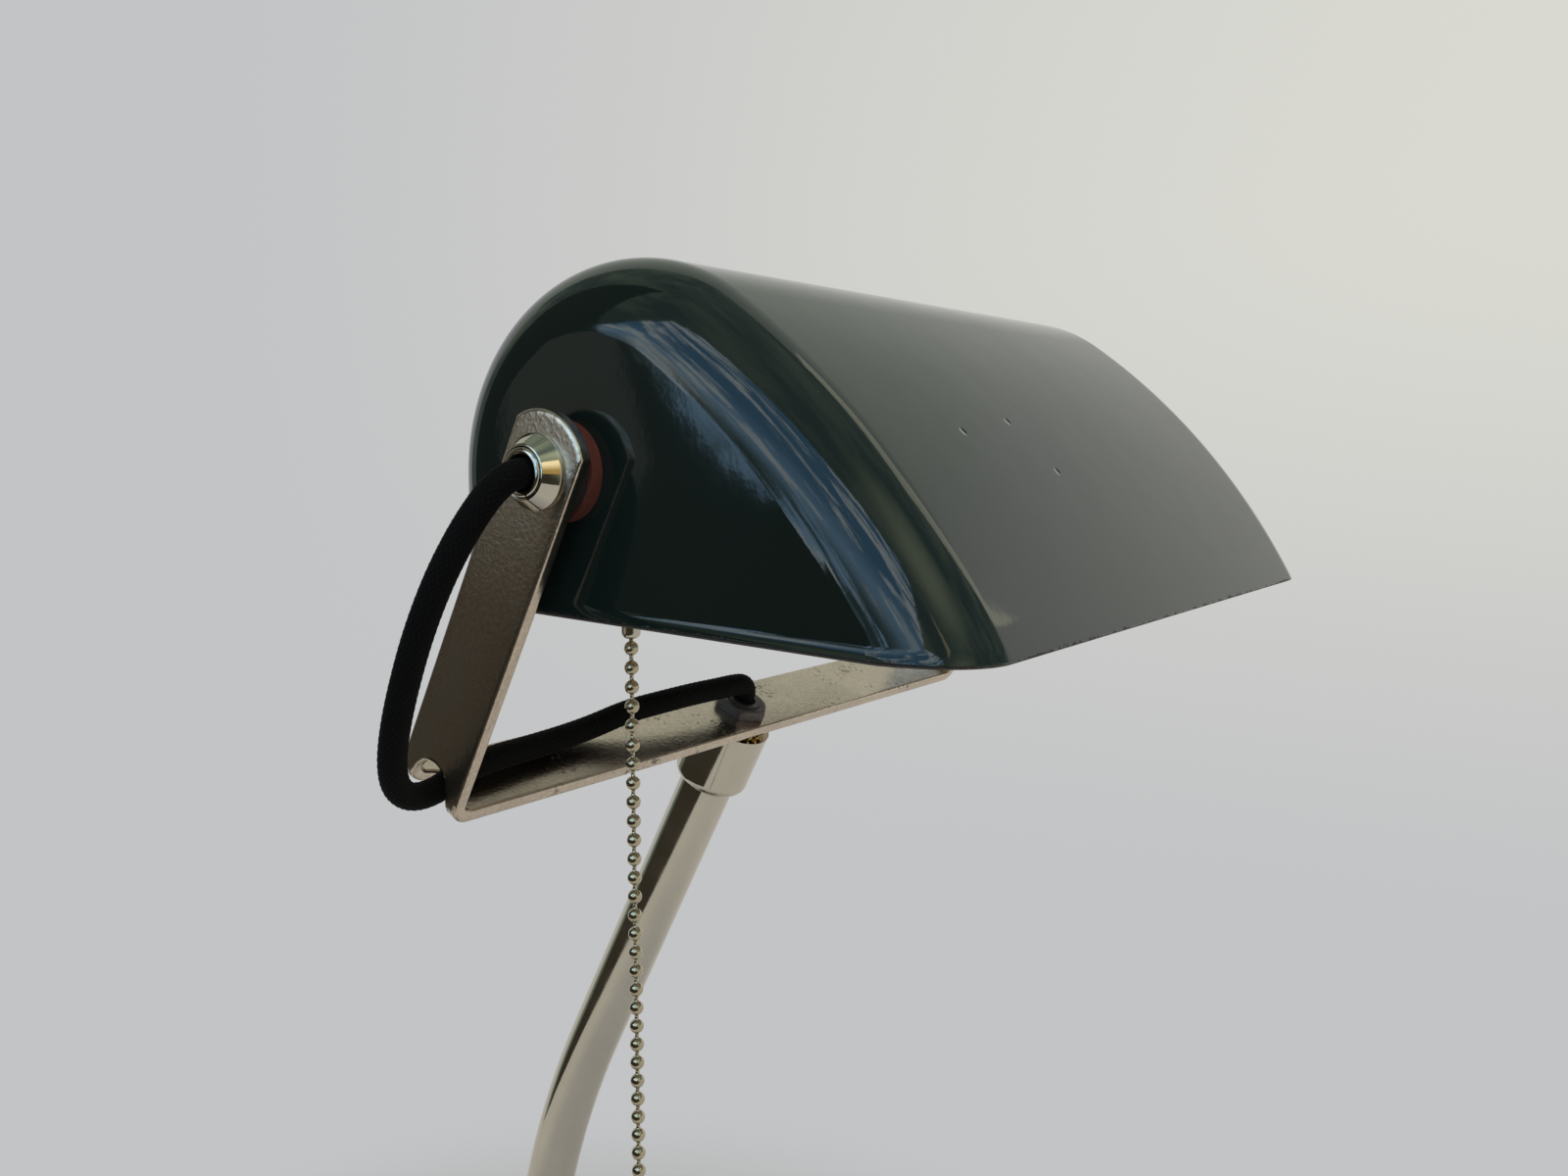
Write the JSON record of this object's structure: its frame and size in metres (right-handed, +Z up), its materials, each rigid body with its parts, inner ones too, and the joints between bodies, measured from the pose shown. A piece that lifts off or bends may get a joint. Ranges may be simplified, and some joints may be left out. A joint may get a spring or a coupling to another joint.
{
  "type": "banker desk lamp",
  "caption": "Desk lamp with an enamelled half-barrel shade tilting in a U-shaped strap bracket on a leaning stem and weighted round base, with a pull chain and a loop of braided cord.",
  "frame": {"origin": "middle of the felt underside of the base, on the table", "axes": "X along the shade and its tilt axis, Y to the back (the shade's open front lip faces -Y), Z up"},
  "size_m": [0.251, 0.3162, 0.4195],
  "materials": {
    "enamel": "gloss",
    "satin_nickel": "satin",
    "polished_nickel": "polished",
    "dark_steel": "satin",
    "brass": "satin",
    "black_fibre": "matte",
    "red_fibre": "matte",
    "bakelite": "satin",
    "porcelain": "gloss",
    "glass": "frosted",
    "cast_iron": "rough",
    "felt": "matte",
    "braid": "matte"
  },
  "bodies": {
    "stand": {"base_cover": "polished_nickel", "base_weight": "cast_iron", "base_felt": "felt", "cord_outlet_bush": "bakelite", "stem_foot_nipple": "brass", "foot_washer": "dark_steel", "foot_nut": "dark_steel", "stem_foot_collar": "polished_nickel", "stem_tube": "polished_nickel", "stem_head_collar": "polished_nickel", "bracket_lock_washer": "brass", "stem_head_nipple": "dark_steel", "bracket_nut": "dark_steel", "bracket_strap": "satin_nickel", "left_arm_washer": "black_fibre", "right_arm_washer": "black_fibre", "cord_loop": "braid", "stem_lead": "braid"},
    "switch_link": {"switch_plunger": "brass"},
    "chain": {"chain_coupling": "polished_nickel", "pull_chain": "polished_nickel", "chain_pull": "polished_nickel"},
    "shade": {"shade_shell": "enamel", "left_nipple": "polished_nickel", "right_nipple": "polished_nickel", "left_cone_nut": "polished_nickel", "right_cone_nut": "polished_nickel", "left_fibre_washer": "red_fibre", "right_fibre_washer": "red_fibre", "left_inner_washer": "dark_steel", "right_inner_washer": "dark_steel", "left_inner_nut": "brass", "right_inner_nut": "brass", "holder_cap": "brass", "switch_block": "bakelite", "chain_guide": "brass", "holder_shell": "brass", "holder_insulator": "porcelain", "holder_contact": "brass", "holder_screw_shell": "brass", "bulb_contact": "brass", "bulb_cap": "brass", "bulb_glass": "glass", "holder_lead": "braid"}
  },
  "joints": [
    {"name": "shade_tilt", "type": "hinge", "parent": "stand", "child": "shade", "pos_m": [0, -0.13064, 0.37573], "axis": [1, 0, 0], "range_deg": [-60, 45]},
    {"name": "switch_pull", "type": "slide", "parent": "shade", "child": "switch_link", "axis": [0, 0, -1], "range_m": [0, 0.008], "stiffness_N_per_m": 200, "springref_m": -0.003},
    {"name": "chain_swing", "type": "hinge", "parent": "switch_link", "child": "chain", "pos_m": [-0.086, -0.13064, 0.34953], "axis": [1, 0, 0], "range_deg": [-45, 60]}
  ],
  "couplings": [
    {"joint": "chain_swing", "follows": "shade_tilt", "ratio": -1}
  ]
}
